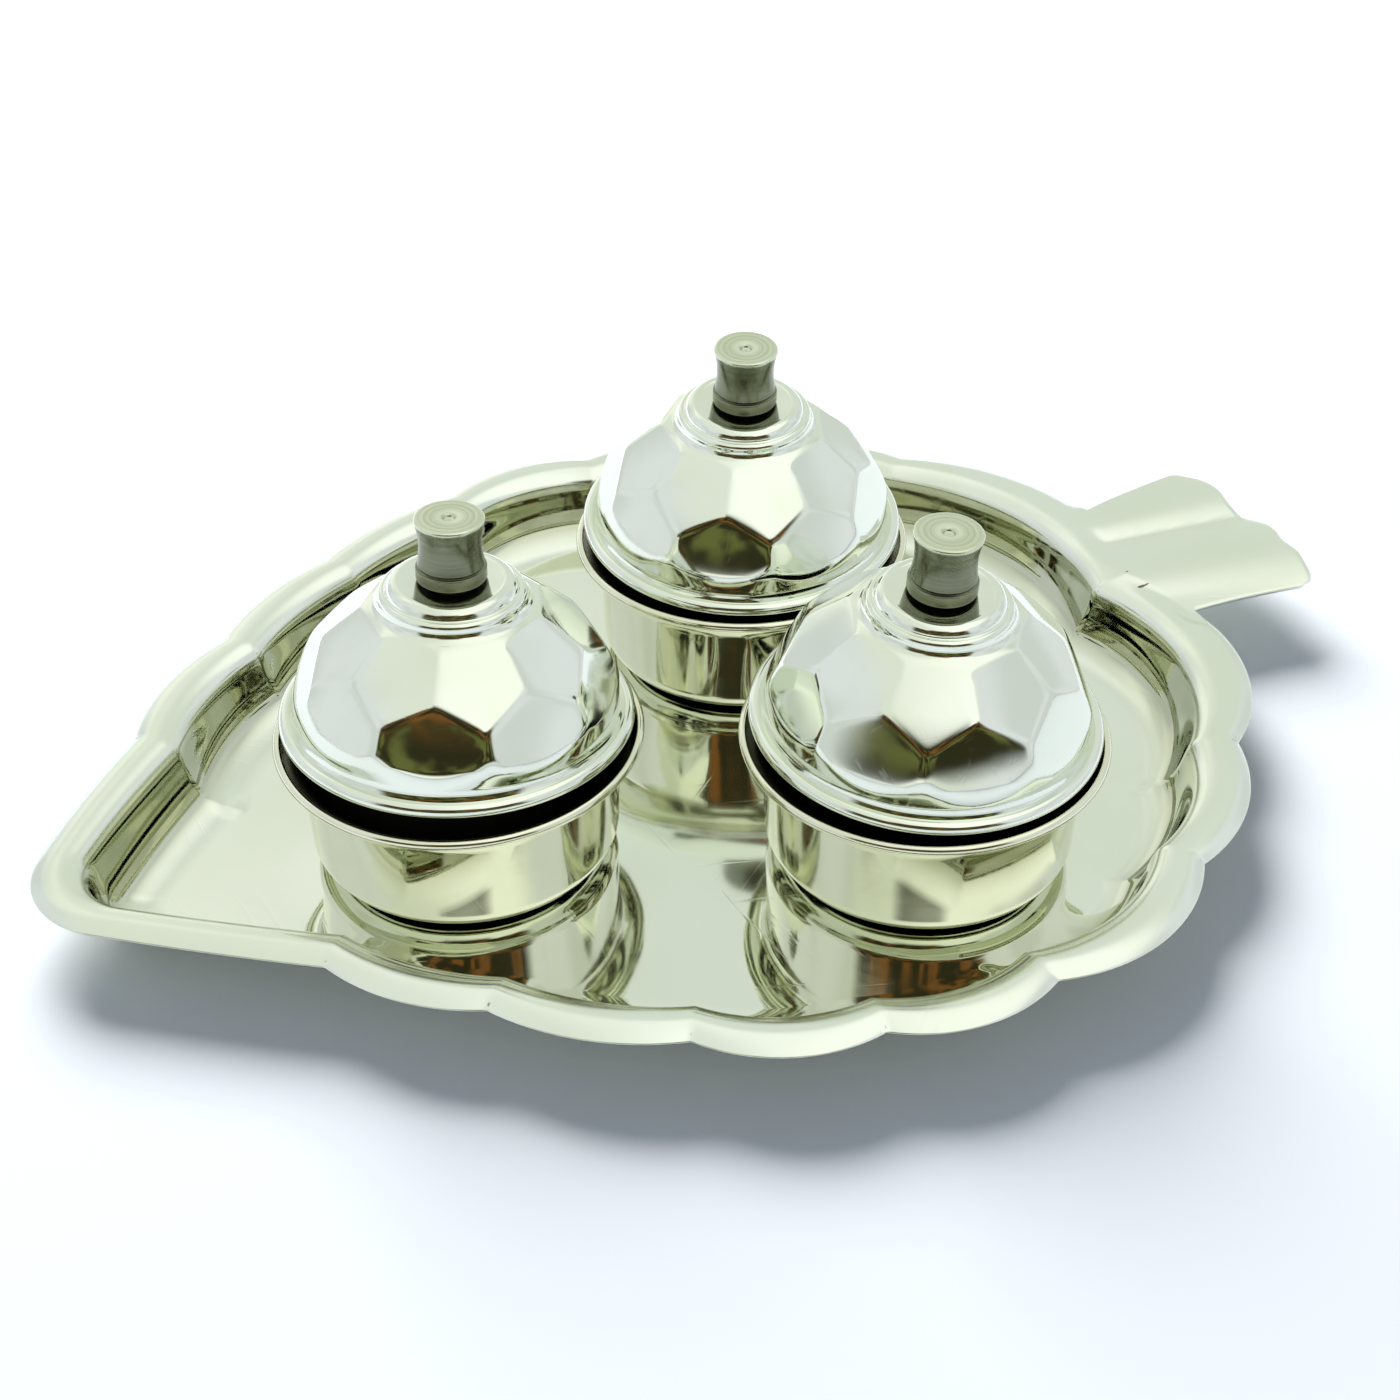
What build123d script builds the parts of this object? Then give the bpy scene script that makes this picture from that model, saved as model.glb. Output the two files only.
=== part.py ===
from build123d import *
from math import cos, hypot, radians, sin
import os

# Three lidded cups fixed on a leaf-shaped tray. Millimetres, +Z up.
# The origin lies on the underside of the tray floor, between the three cups.
# +X runs along the leaf towards its stem, the pointed tip is at -X.

# Sheet and fits
sheet = 0.7
cup_sheet = 0.6
lid_sheet = 0.6
seat_gap = 0.8
rest_gap = 0.3
bore_gap = 0.15

# Tray heights
pad_rise = 0.8
pad_top = sheet + pad_rise
pad_radius = 14.0
pad_slope = 2.0
edge_top = 10.5

# Folds of the stem (y, height) from its rear edge to its front lip, at its root and at its end
stem_root = 84.0
stem_end = 124.0
root_folds = ((26.0, 11.3), (17.5, 12.0), (12.8, 11.0), (3.0, 12.2), (-4.9, 11.2), (-13.0, 10.3))
end_folds = ((26.0, 11.3), (15.5, 12.5), (6.4, 11.0), (-3.5, 12.6), (-14.1, 11.2), (-16.5, 10.2))

# Short creases pressed up into the floor, one from each notch
crease_height = 0.8
crease_width = 4.6
crease_start = 10.6
crease_lengths = (2.5, 3.5, 3.5, 3.5, 3.5, 3.5, 4.0, 4.0, 0.0, 0.0, 3.0, 3.0, 2.5, 2.5, 2.5, 2.5, 2.5)
crease_arc = (crease_width ** 2 / 4 + crease_height ** 2) / (2 * crease_height)

# Cups
cup_places = {"tip": (-30.0, 2.8), "front": (29.5, -29.5), "rear": (30.9, 29.3)}
cup_height = 20.2
lip_radius = 27.0
hem_radius = 0.75
body_radius = 23.3
foot_radius = 19.5
foot_corner = 3.4
flare_start = 15.0

# Lids, heights measured from the middle of the rolled bead
bead_radius = 1.1
bead_edge = 25.7
dome_radius = 23.45
shoulder_height = 5.0
boss_edge = 10.9
ledge_radius = 9.55
ledge_height = 20.75
boss_radius = 7.4
boss_top = 22.0
skirt_depth = 8.4
flats = 9
upper_flat = (17.7, 13.6, 48.4)
lower_flat = (20.9, 9.3, 26.5)
lid_turns = {"tip": -100.8, "front": -123.9, "rear": -106.4}
# The loose lids sit askew: angle of lean, and the direction of the low side
lid_leans = {"tip": (3.2, 37.0), "front": (3.0, -65.0), "rear": (4.0, -107.0)}

# Knobs, screws and washers
knob_radius = 4.95
knob_top = 31.9
waist_radius = 4.42
neck_radius = 3.4
neck_height = 0.5
screw_radius = 1.5
screw_head_radius = 3.0
screw_head_height = 2.0
screw_reach = 5.6
washer_radius = 4.6
washer_thickness = 0.8

# Rivets
rivet_radius = 1.8
rivet_head_radius = 4.2
rivet_head_height = 1.2
rivet_tail_radius = 3.2
rivet_tail_height = 0.65

# Notches of the rim (x, y) with the rise of the lobe that follows each of them,
# counterclockwise from the stem. The short side between the tip notches closes the tip.
rim_notches = (
    (90.0, 1.6, 10.6), (77.0, 52.4, 3.6), (53.5, 70.0, 3.6), (25.3, 79.0, 3.7),
    (-1.2, 78.6, 2.2), (-27.9, 69.4, 2.2), (-50.5, 54.8, 2.8), (-70.3, 36.1, 0.6),
    (-90.0, 15.9, 3.7), (-89.3, -3.1, 0.3), (-61.9, -24.9, 2.4), (-45.7, -42.6, 2.6),
    (-24.4, -60.1, 3.7), (-1.0, -70.4, 3.7), (24.4, -72.8, 5.4), (56.4, -62.7, 3.8),
    (78.2, -42.6, 9.2),
)
tip_notches = (8, 9)
lobe_fade = 0.033
stand = (Align.CENTER, Align.CENTER, Align.MIN)

# Upper surface of the tray from its edge inward: distance from the edge, height
rim_skin = ((0.0, edge_top), (1.4, 11.25), (3.2, 11.65))
well_skin = (
    (3.2, 11.65), (5.0, 11.4), (6.5, 10.4), (7.6, 9.2), (8.4, 5.6),
    (9.6, 3.2), (11.6, 1.7), (14.0, 0.95), (17.0, sheet),
)

os.makedirs("parts", exist_ok=True)


def chord(index):
    """Ends, direction and length of one lobe of the rim."""
    x0, y0, rise = rim_notches[index % len(rim_notches)]
    x1, y1, _ = rim_notches[(index + 1) % len(rim_notches)]
    length = hypot(x1 - x0, y1 - y0)
    return (x0, y0), (x1, y1), ((y1 - y0) / length, (x0 - x1) / length), rise


def outward(index):
    """Direction pointing out of the leaf at one notch."""
    before, after = chord(index - 1)[2], chord(index)[2]
    nx, ny = before[0] + after[0], before[1] + after[1]
    size = hypot(nx, ny)
    return nx / size, ny / size


def notch_at(index, inset):
    x, y, _ = rim_notches[index % len(rim_notches)]
    nx, ny = outward(index)
    return x - inset * nx, y - inset * ny


def ring(inset, height):
    """Closed outline of the leaf, moved inward by inset, as a face at the given height."""
    with BuildSketch(Plane.XY.offset(height)) as outline:
        with BuildLine():
            for index in range(len(rim_notches)):
                start, end = notch_at(index, inset), notch_at(index + 1, inset)
                nx, ny = chord(index)[2]
                rise = chord(index)[3] * (1 - lobe_fade * inset)
                middle = ((start[0] + end[0]) / 2 + nx * rise, (start[1] + end[1]) / 2 + ny * rise)
                ThreePointArc(start, middle, end)
        make_face()
    return outline.sketch


def underside(skin):
    """The same cross-section moved by the sheet thickness to the lower side."""
    normals = []
    for (d0, z0), (d1, z1) in zip(skin, skin[1:]):
        size = hypot(d1 - d0, z1 - z0)
        normals.append(((z1 - z0) / size, (d0 - d1) / size))
    moved = []
    for place, (d, z) in enumerate(skin):
        near = normals[max(place - 1, 0):place + 1]
        nx, nz = sum(n[0] for n in near), sum(n[1] for n in near)
        size = hypot(nx, nz)
        moved.append((d + sheet * nx / size, z + sheet * nz / size))
    return moved


def leaf_loft(profile, mode):
    loft([ring(inset, height) for inset, height in profile], ruled=True, mode=mode)


def stem_section(x, folds):
    """Wavy section of the stem sheet: two humps, a sharp valley and a lip turned down in front."""
    low = [(y, z - sheet) for y, z in folds]
    with BuildSketch(Plane.YZ.offset(x)) as section:
        with BuildLine():
            ThreePointArc(folds[0], folds[1], folds[2])
            ThreePointArc(folds[2], folds[3], folds[4])
            Polyline(folds[4], folds[5], low[5], low[4])
            ThreePointArc(low[4], low[3], low[2])
            ThreePointArc(low[2], low[1], low[0])
            Line(low[0], folds[0])
        make_face()
    return section.sketch


def make_stem():
    """Fluted stem whose folds fan out, cut to the outline of a torn leaf stalk."""
    with BuildPart() as stem:
        loft([stem_section(stem_root, root_folds), stem_section(stem_end, end_folds)], ruled=True)
        with BuildSketch(Plane.XY.offset(5.0)):
            with BuildLine():
                Polyline((stem_root, 20.9), (94.0, 21.2), (99.0, 22.3), (114.6, 24.2))
                ThreePointArc((114.6, 24.2), (115.8, 23.7), (116.7, 22.4))
                Line((116.7, 22.4), (118.2, 19.5))
                ThreePointArc((118.2, 19.5), (118.8, 17.2), (118.8, 14.9))
                ThreePointArc((118.8, 14.9), (118.0, 11.2), (118.0, 8.0))
                ThreePointArc((118.0, 8.0), (119.2, 5.4), (119.8, 2.8))
                ThreePointArc((119.8, 2.8), (119.1, -0.3), (118.1, -3.0))
                Polyline((118.1, -3.0), (118.7, -6.8), (117.4, -11.3), (116.8, -13.1), (113.6, -13.9),
                         (104.6, -12.3), (96.0, -11.4), (stem_root, -11.4), (stem_root, 20.9))
            make_face()
        extrude(amount=12.0, mode=Mode.INTERSECT)
    return stem.part


def make_creases(radius, base, limit=()):
    """Round bars with rounded ends from the notches inward, cut flat at base."""
    middle = sheet + crease_height - crease_arc
    with BuildPart() as bars:
        for index, length in enumerate(crease_lengths):
            if index in tip_notches:
                continue
            nx, ny = outward(index)
            x, y = notch_at(index, crease_start)
            with BuildSketch(Plane(origin=(x, y, 0), x_dir=(ny, -nx, 0), z_dir=(-nx, -ny, 0))):
                with Locations((0, middle)):
                    Circle(radius)
            extrude(amount=length)
            with Locations((x - nx * length, y - ny * length, middle)):
                Sphere(radius)
        split(bisect_by=Plane.XY.offset(base), keep=Keep.TOP)
        if limit:
            leaf_loft(limit, Mode.INTERSECT)
    return bars.part


# Tray
with BuildPart() as tray:
    whole = rim_skin + well_skin[1:]
    under = underside(whole)
    crown_place = len(rim_skin) - 1
    leaf_loft(((0.0, edge_top - sheet),) + rim_skin, Mode.ADD)
    hollow = [(under[0][0], edge_top - sheet - 0.1)] + under[1:crown_place + 1]
    leaf_loft(hollow, Mode.SUBTRACT)
    bowl = [(well_skin[-1][0], 0.0)] + under[crown_place + 1:-1][::-1]
    bowl = bowl + [(under[crown_place][0], under[crown_place][1] + 0.1)]
    leaf_loft(bowl, Mode.ADD)
    add(make_stem())
    leaf_loft(well_skin, Mode.SUBTRACT)
    leaf_loft(((well_skin[1][0], 14.0), (well_skin[1][0], well_skin[1][1])), Mode.SUBTRACT)
    # creases pressed up into the floor
    add(make_creases(crease_arc, 0.0, bowl))
    add(make_creases(crease_arc - sheet, -sheet), mode=Mode.SUBTRACT)
    # raised pads the cups stand on
    for x, y in cup_places.values():
        with Locations((x, y, sheet)):
            Cone(pad_radius + pad_slope, pad_radius, pad_rise, align=stand)
        with Locations((x, y, 0)):
            Cone(pad_radius + pad_slope - sheet / 2, pad_radius - sheet / 2, pad_rise,
                 align=stand, mode=Mode.SUBTRACT)
        with Locations((x, y, 0)):
            Cylinder(rivet_radius + bore_gap, pad_top * 2, align=stand, mode=Mode.SUBTRACT)

tray.part.label = "tray"
export_step(tray.part, "parts/tray.step")


def make_cup():
    """Spun cup with a rounded foot, a straight wall, a flared mouth and a rolled hem."""
    hem = (lip_radius - hem_radius, cup_height - hem_radius)
    with BuildPart() as cup:
        with BuildSketch(Plane.XZ):
            with BuildLine():
                wall = body_radius - 0.35
                turn = foot_corner * cos(radians(45))
                Line((rivet_radius + bore_gap, 0), (foot_radius, 0))
                ThreePointArc((foot_radius, 0),
                              (foot_radius + turn, foot_corner - turn), (wall, foot_corner))
                Line((wall, foot_corner), (body_radius, flare_start))
                ThreePointArc((body_radius, flare_start), (24.05, 17.4), (hem[0] - 0.1, hem[1] - 0.4))
                Line((hem[0] - 0.1, hem[1] - 0.4), (hem[0] - 0.4, hem[1] + 0.2))
                ThreePointArc((hem[0] - 0.4, hem[1] + 0.2), (23.45, 17.7),
                              (body_radius - cup_sheet, flare_start))
                Line((body_radius - cup_sheet, flare_start), (wall - cup_sheet, foot_corner))
                near = foot_corner - cup_sheet
                bend = near * cos(radians(45))
                ThreePointArc((wall - cup_sheet, foot_corner),
                              (foot_radius + bend, foot_corner - bend), (foot_radius, cup_sheet))
                Line((foot_radius, cup_sheet), (rivet_radius + bore_gap, cup_sheet))
                Line((rivet_radius + bore_gap, cup_sheet), (rivet_radius + bore_gap, 0))
            make_face()
            with Locations(hem):
                Circle(hem_radius)
        revolve(axis=Axis.Z)
    return cup.part


def shell_profile(offset):
    """Dome section from its foot to the boss edge, moved inward by offset."""
    with BuildLine() as dome:
        Line((dome_radius - offset, 1.0), (dome_radius - offset, shoulder_height))
        ThreePointArc((dome_radius - offset, shoulder_height),
                      (19.2 - offset * 0.64, 14.0 - offset * 0.77), (boss_edge, 18.5 - offset))
    return dome


def dome_body(offset):
    """Solid dome with two rings of flats cut on its shoulder."""
    with BuildPart() as body:
        with BuildSketch(Plane.XZ):
            with BuildLine():
                add(shell_profile(offset).edges())
                Line((boss_edge, 18.5 - offset), (0, 18.5 - offset))
                Line((0, 18.5 - offset), (0, 1.0))
                Line((0, 1.0), (dome_radius - offset, 1.0))
            make_face()
        revolve(axis=Axis.Z)
        for ring_turn, (radius, height, tilt) in ((0.0, upper_flat), (0.5, lower_flat)):
            nr, nz = cos(radians(tilt)), sin(radians(tilt))
            for step in range(flats):
                turn = radians(360.0 / flats * (step + ring_turn))
                out, up = radius - nr * offset, height - nz * offset
                face = Plane(origin=(out * cos(turn), out * sin(turn), up),
                             x_dir=(-sin(turn), cos(turn), 0),
                             z_dir=(nr * cos(turn), nr * sin(turn), nz))
                with BuildSketch(face):
                    Rectangle(40.0, 40.0)
                extrude(amount=12.0, mode=Mode.SUBTRACT)
    return body.part


def make_lid():
    """Faceted dome with a stepped boss, a rolled bead and a skirt that enters the cup."""
    outer, inner = dome_body(0.0), dome_body(lid_sheet)
    skirt = body_radius - cup_sheet - seat_gap
    roof = boss_top - lid_sheet
    with BuildPart() as lid:
        add(outer)
        with BuildSketch(Plane.XZ):
            with BuildLine():
                Polyline((0, 18.0), (boss_edge, 18.0), (boss_edge, 18.7), (10.5, 20.0))
                ThreePointArc((10.5, 20.0), (10.3, 20.5), (ledge_radius, ledge_height))
                ThreePointArc((ledge_radius, ledge_height), (8.75, 21.65), (boss_radius, boss_top))
                Polyline((boss_radius, boss_top), (0, boss_top), (0, 18.0))
            make_face()
        revolve(axis=Axis.Z)
        add(inner, mode=Mode.SUBTRACT)
        # hollow of the boss
        with BuildSketch(Plane.XZ):
            with BuildLine():
                Polyline((0, 17.0), (10.0, 17.0), (10.0, 19.3), (9.6, 19.95), (8.9, 20.25),
                         (8.3, 21.1), (boss_radius, roof), (0, roof), (0, 17.0))
            make_face()
        revolve(axis=Axis.Z, mode=Mode.SUBTRACT)
        with BuildSketch(Plane.XZ):
            with BuildLine():
                deep, inside = -skirt_depth, dome_radius - lid_sheet
                Polyline((dome_radius, 1.4), (24.1, 1.0), (24.1, -0.9))
                ThreePointArc((24.1, -0.9), (22.65, -1.35), (skirt, -2.3))
                Polyline((skirt, -2.3), (skirt, deep), (skirt - lid_sheet, deep), (skirt - lid_sheet, -2.0))
                ThreePointArc((skirt - lid_sheet, -2.0), (22.05, -0.85), (inside, -0.4))
                Polyline((inside, -0.4), (inside, 1.4), (dome_radius, 1.4))
            make_face()
            with Locations((bead_edge - bead_radius, 0)):
                Circle(bead_radius)
        revolve(axis=Axis.Z)
        with Locations((0, 0, roof - 1.0)):
            Cylinder(screw_radius + bore_gap, lid_sheet + 2.0, align=stand, mode=Mode.SUBTRACT)
    return lid.part


def make_knob():
    """Turned knob: neck, base ring, groove, waist and a centre mark on the top."""
    base = boss_top + neck_height
    with BuildPart() as knob:
        with BuildSketch(Plane.XZ):
            with BuildLine():
                Polyline((0, boss_top), (neck_radius, boss_top), (neck_radius, base), (4.8, base),
                         (5.0, base + 0.2), (5.0, base + 1.7), (4.85, base + 1.9),
                         (4.6, base + 2.05), (4.75, base + 2.4))
                ThreePointArc((4.75, base + 2.4), (waist_radius, base + 4.7), (knob_radius, knob_top - 0.5))
                Polyline((knob_radius, knob_top - 0.5), (knob_radius - 0.3, knob_top),
                         (1.1, knob_top), (0.7, knob_top - 0.4), (0, knob_top - 0.4), (0, boss_top))
            make_face()
        revolve(axis=Axis.Z)
        with Locations((0, 0, boss_top)):
            Cylinder(screw_radius + bore_gap, screw_reach + 0.4, align=stand, mode=Mode.SUBTRACT)
    return knob.part


def make_screw():
    """Cheese-head screw with a slot, driven up from inside the lid."""
    seat = boss_top - lid_sheet - washer_thickness - 0.1
    with BuildPart() as screw:
        with Locations((0, 0, seat - screw_head_height)):
            Cylinder(screw_head_radius, screw_head_height, align=stand)
        with Locations((0, 0, seat)):
            Cylinder(screw_radius, boss_top + screw_reach - seat, align=stand)
        with Locations((0, 0, seat - screw_head_height)):
            Box(7.0, 0.7, 0.8, align=stand, mode=Mode.SUBTRACT)
    return screw.part


def make_washer():
    """Flat washer between the screw head and the inside of the lid."""
    with BuildPart() as washer:
        with Locations((0, 0, boss_top - lid_sheet - washer_thickness)):
            Cylinder(washer_radius, washer_thickness, align=stand)
            Cylinder(screw_radius + bore_gap, washer_thickness, align=stand, mode=Mode.SUBTRACT)
    return washer.part


def make_rivet():
    """Rivet through cup and pad: round head inside the cup, flat tail under the pad."""
    head = pad_top + cup_sheet
    with BuildPart() as rivet:
        with BuildSketch(Plane.XZ):
            with BuildLine():
                Line((0, head), (rivet_head_radius, head))
                Line((rivet_head_radius, head), (rivet_head_radius, head + 0.3))
                ThreePointArc((rivet_head_radius, head + 0.3), (3.0, head + 0.9),
                              (1.2, head + rivet_head_height))
                Line((1.2, head + rivet_head_height), (0, head + rivet_head_height))
                Line((0, head + rivet_head_height), (0, head))
            make_face()
        revolve(axis=Axis.Z)
        with Locations((0, 0, pad_rise - rivet_tail_height)):
            Cylinder(rivet_radius, head - pad_rise + rivet_tail_height, align=stand)
            Cylinder(rivet_tail_radius, rivet_tail_height, align=stand)
    return rivet.part


def seat(place):
    """Place and attitude of one lid, the low side of its bead just above the lip of the cup."""
    x, y = cup_places[place]
    lean, heading = lid_leans[place]
    height = cup_height + rest_gap + bead_radius + (bead_edge - bead_radius) * sin(radians(lean))
    attitude = Rot(0, 0, heading) * Rot(0, lean, 0) * Rot(0, 0, lid_turns[place] - heading)
    return Pos(x, y, pad_top + height) * attitude


def save(solid, kind, place, location):
    moved = location * solid
    moved.label = f"{kind}_{place}"
    export_step(moved, f"parts/{kind}_{place}.step")


cup_solid, lid_solid, knob_solid = make_cup(), make_lid(), make_knob()
screw_solid, washer_solid, rivet_solid = make_screw(), make_washer(), make_rivet()
for place, (x, y) in cup_places.items():
    save(cup_solid, "cup", place, Pos(x, y, pad_top))
    save(rivet_solid, "cup_rivet", place, Pos(x, y, 0))
    save(lid_solid, "lid", place, seat(place))
    save(knob_solid, "knob", place, seat(place))
    save(screw_solid, "knob_screw", place, seat(place))
    save(washer_solid, "knob_washer", place, seat(place))
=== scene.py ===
"""Leaf tray with three lidded cups: the visible model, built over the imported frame."""

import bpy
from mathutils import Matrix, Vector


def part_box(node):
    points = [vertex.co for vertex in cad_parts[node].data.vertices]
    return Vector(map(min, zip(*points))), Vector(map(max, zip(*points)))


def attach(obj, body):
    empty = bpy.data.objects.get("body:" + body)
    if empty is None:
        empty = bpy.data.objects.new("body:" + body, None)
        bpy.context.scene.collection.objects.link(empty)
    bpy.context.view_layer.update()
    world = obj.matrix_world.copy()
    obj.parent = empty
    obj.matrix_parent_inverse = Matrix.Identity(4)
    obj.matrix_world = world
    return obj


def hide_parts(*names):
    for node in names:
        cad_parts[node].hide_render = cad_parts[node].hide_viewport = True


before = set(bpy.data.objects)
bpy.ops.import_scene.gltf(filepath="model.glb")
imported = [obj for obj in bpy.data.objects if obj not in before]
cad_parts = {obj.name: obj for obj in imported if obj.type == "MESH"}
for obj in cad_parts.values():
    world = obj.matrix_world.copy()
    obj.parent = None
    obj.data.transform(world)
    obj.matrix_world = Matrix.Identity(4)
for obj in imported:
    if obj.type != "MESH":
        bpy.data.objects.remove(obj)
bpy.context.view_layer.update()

from math import atan2, ceil, cos, exp, hypot, pi, radians, sin

import bmesh
import bpy
from bpy.props import FloatProperty, FloatVectorProperty, IntProperty, PointerProperty
from mathutils import Matrix, Vector
from mathutils.geometry import interpolate_bezier

bl_info = {
    "name": "Leaf tray with lidded cups",
    "version": (1, 0, 0),
    "blender": (4, 5, 0),
    "location": "View3D > Sidebar > Holder",
    "description": "Builds the pressed leaf tray, its cups, faceted lids and turned knobs",
    "category": "Object",
}

MM = 0.001
PLACES = ("tip", "front", "rear")
# Degrees by which each lid is turned about its own axis
LID_TURNS = {"tip": -100.8, "front": -123.9, "rear": -106.4}
# The loose lids sit askew: angle of lean, and the direction of the low side
LID_LEANS = {"tip": (3.2, 37.0), "front": (3.0, -65.0), "rear": (4.0, -107.0)}

# Notches of the rim in mm (x, y) with the rise of the lobe that follows each of them,
# counterclockwise from the stem, and the length of the crease pressed in from each notch.
RIM = (
    (90.0, 1.6, 10.6, 2.5), (77.0, 52.4, 3.6, 3.5), (53.5, 70.0, 3.6, 3.5),
    (25.3, 79.0, 3.7, 3.5), (-1.2, 78.6, 2.2, 3.5), (-27.9, 69.4, 2.2, 3.5),
    (-50.5, 54.8, 2.8, 4.0), (-70.3, 36.1, 0.6, 4.0), (-90.0, 15.9, 3.7, 0.0),
    (-89.3, -3.1, 0.3, 0.0), (-61.9, -24.9, 2.4, 3.0), (-45.7, -42.6, 2.6, 3.0),
    (-24.4, -60.1, 3.7, 2.5), (-1.0, -70.4, 3.7, 2.5), (24.4, -72.8, 5.4, 2.5),
    (56.4, -62.7, 3.8, 2.5), (78.2, -42.6, 9.2, 2.5),
)
# Share of its rise a lobe loses per mm inward, and inset of the flat floor in mm
LOBE_FADE, WELL_INSET = 0.033, 17.0
# Creases in mm: start, lead back to the notch, least inset, rows of the floor past a crease or wall
CREASE_START, CREASE_LEAD, CREASE_INSET, PAST_CREASE, PAST_WELL = 10.6, 3.0, 8.0, 4.0, 3.0
# Painted shade in the crimps at the notches in mm: reach inward, middle, spread squared
CRIMP_INSET, CRIMP_MIDDLE, CRIMP_SPREAD = 2.5, 0.7, 0.5
# Where the rim flows up into the stem in mm: least x, insets of full and no flow, sides, softness
FLOW_START, FLOW_INSETS, FLOW_SIDES, FLOW_SOFT = 70.0, (1.0, 5.0), (-17.5, 27.0), 6.0

# Painted shade in the crease at the root of the stem: place in metres, and how narrow it is along each axis
STEM_MARK, STEM_MARK_SCALE = (0.0894, -0.0026, 0.0122), (620.0, 2300.0, 100.0)

# Section of the rim and the well wall in mm: distance from the edge, height. Each run is a
# Bezier curve: end, two handles, end.
RIM_RUNS = (
    (((0.0, 10.5), (0.7, 11.0), (1.7, 11.6), (3.2, 11.65)), 8),
    (((3.2, 11.65), (5.2, 11.7), (6.9, 10.9), (7.5, 9.3)), 12),
    (((7.5, 9.3), (8.2, 7.2), (8.3, 5.4), (9.3, 3.7)), 8),
    (((9.3, 3.7), (10.4, 1.7), (13.4, 0.7), (17.0, 0.7)), 12),
)

# Folds of the stem in mm (y, height) from its rear edge to its front lip, at its root and end
STEM_ROOT, STEM_TIP = 84.0, 124.0
ROOT_FOLDS = ((26.0, 11.3), (17.5, 12.0), (12.8, 11.0), (3.0, 12.2), (-4.9, 11.2), (-13.0, 10.3))
END_FOLDS = ((26.0, 11.3), (15.5, 12.5), (6.4, 11.0), (-3.5, 12.6), (-14.1, 11.2), (-16.5, 10.2))
STEM_REAR = ((93.2, 21.0), (98.0, 22.2), (106.0, 23.2), (114.7, 24.1))
STEM_FRONT = ((92.6, -11.4), (99.0, -11.5), (106.0, -12.4), (113.6, -13.8))
STEM_END = ((114.7, 24.1), (115.9, 23.6), (116.8, 22.2), (118.2, 19.4), (118.7, 17.2), (118.7, 14.9),
            (118.0, 11.2), (118.0, 8.0), (119.1, 5.4), (119.7, 2.8), (119.1, -0.3), (118.1, -3.0),
            (118.6, -6.8), (117.4, -11.3), (116.7, -13.0), (113.6, -13.8))

# Rings of flats: shift in steps, then radius and height in metres and tilt in degrees of a flat
FLAT_RINGS = ((0.0, 0.0177, 0.0136, 48.4), (0.5, 0.0209, 0.0093, 26.5))
FLAT_CENTRE = 0.005
# Holes in metres: radius and depth of the screw's, radius of the rivet's
SCREW_HOLE, SCREW_DEPTH, RIVET_HOLE = 0.00165, 0.0060, 0.00195
# Boss of a lid in metres (radius, height): a run is one point for a line, two for an arc
BOSS_START = (SCREW_HOLE, 0.0220)
BOSS_RUNS = (((0.0072, 0.0220),), ((0.00862, 0.02185), (0.00930, 0.02095)),
             ((0.00945, 0.02072), (0.0098, 0.02068)), ((0.0103, 0.0204), (0.0105, 0.0199)),
             ((0.01075, 0.0190), (0.0114, 0.01842)))
# Dome of a lid: a point of its arc, heights of its lower end and foot, and of the skirt's foot
DOME_SHOULDER, DOME_END, DOME_FOOT, SKIRT_FOOT = (0.0192, 0.0140), 0.0050, 0.0026, -0.0084
BOSS_HOLLOW = ((0.0101, 0.0185), (0.0100, 0.0193), (0.0096, 0.01995), (0.0089, 0.02025),
               (0.0083, 0.0211), (0.0074, 0.0214), (SCREW_HOLE, 0.0214))
# Wall of a cup: its draft, and a point of the flare outside and inside
CUP_DRAFT, FLARE_OUTSIDE, FLARE_INSIDE = 0.00035, (0.02405, 0.0174), (0.02345, 0.0177)
# Knob: heights of its neck's foot and base ring, and its rounded edge
KNOB_FOOT, KNOB_BASE, KNOB_EDGE = 0.0220, 0.0225, 0.0004
# Steps of one full turn of each turned piece, rows of the floor and points round a pad
CUP_STEPS, LID_STEPS, KNOB_STEPS, FLOOR_ROWS, PAD_POINTS = 160, 360, 96, 18, 96
# Widest step of an arc, and the distance within which points become one
ARC_TURN, MERGE = radians(11), 1e-6

# Camera: place in metres, turn in degrees, focal length and width of the frame in pixels
EYE_PLACE = (-0.118934, -0.245789, 0.222831)
EYE_YAW, EYE_PITCH, EYE_ROLL = 62.672, 36.953, -0.153
EYE_FOCAL, FRAME_WIDTH = 2265.94, 1400

# The tent: pairs at which a mask is 0 and 1. Feet and tops are heights. LEFT_EDGE, SIDE_EDGE,
# WINDOW_FADE and BAND_SIDES count to the viewer's left or both sides, the others from the window
# or the viewer. All are parts of a direction of length 1.
LEFT_EDGE, LEFT_COLOUR = (0.02, 0.20), (1.06, 1.09, 1.0)
SIDE_EDGE, FOLD_STRENGTH = (0.42, 0.66), 0.45
WINDOW_AIM, WINDOW_EDGE, TOP_EDGE = (0.375, 0.927), (0.77, 0.87), (0.70, 0.83)
WINDOW_FADE, WINDOW_COLOUR = (-0.25, 0.35), (1.18, 1.20, 1.14)
BAND_FOOT, BAND_TOP, BAND_SIDES, BAND_REAR = (0.40, 0.50), (0.67, 0.60), (0.68, 0.58), (-0.3, 0.1)
VIEWER_SIDES, VIEWER_TOP, VIEWER_FOOT = (0.91, 0.98), (0.84, 0.68), (0.3, 0.4)
OPENING_SIDES, OPENING_TOP, OPENING_FOOT = (0.64, 0.76), (0.70, 0.63), (0.04, 0.13)
LEAVES_FOOT, LEAVES_TOP, WOOD_FOOT = (0.10, 0.22), (0.46, 0.36), (0.30, 0.46)
FLOOR_GLOW = 0.03
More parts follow.
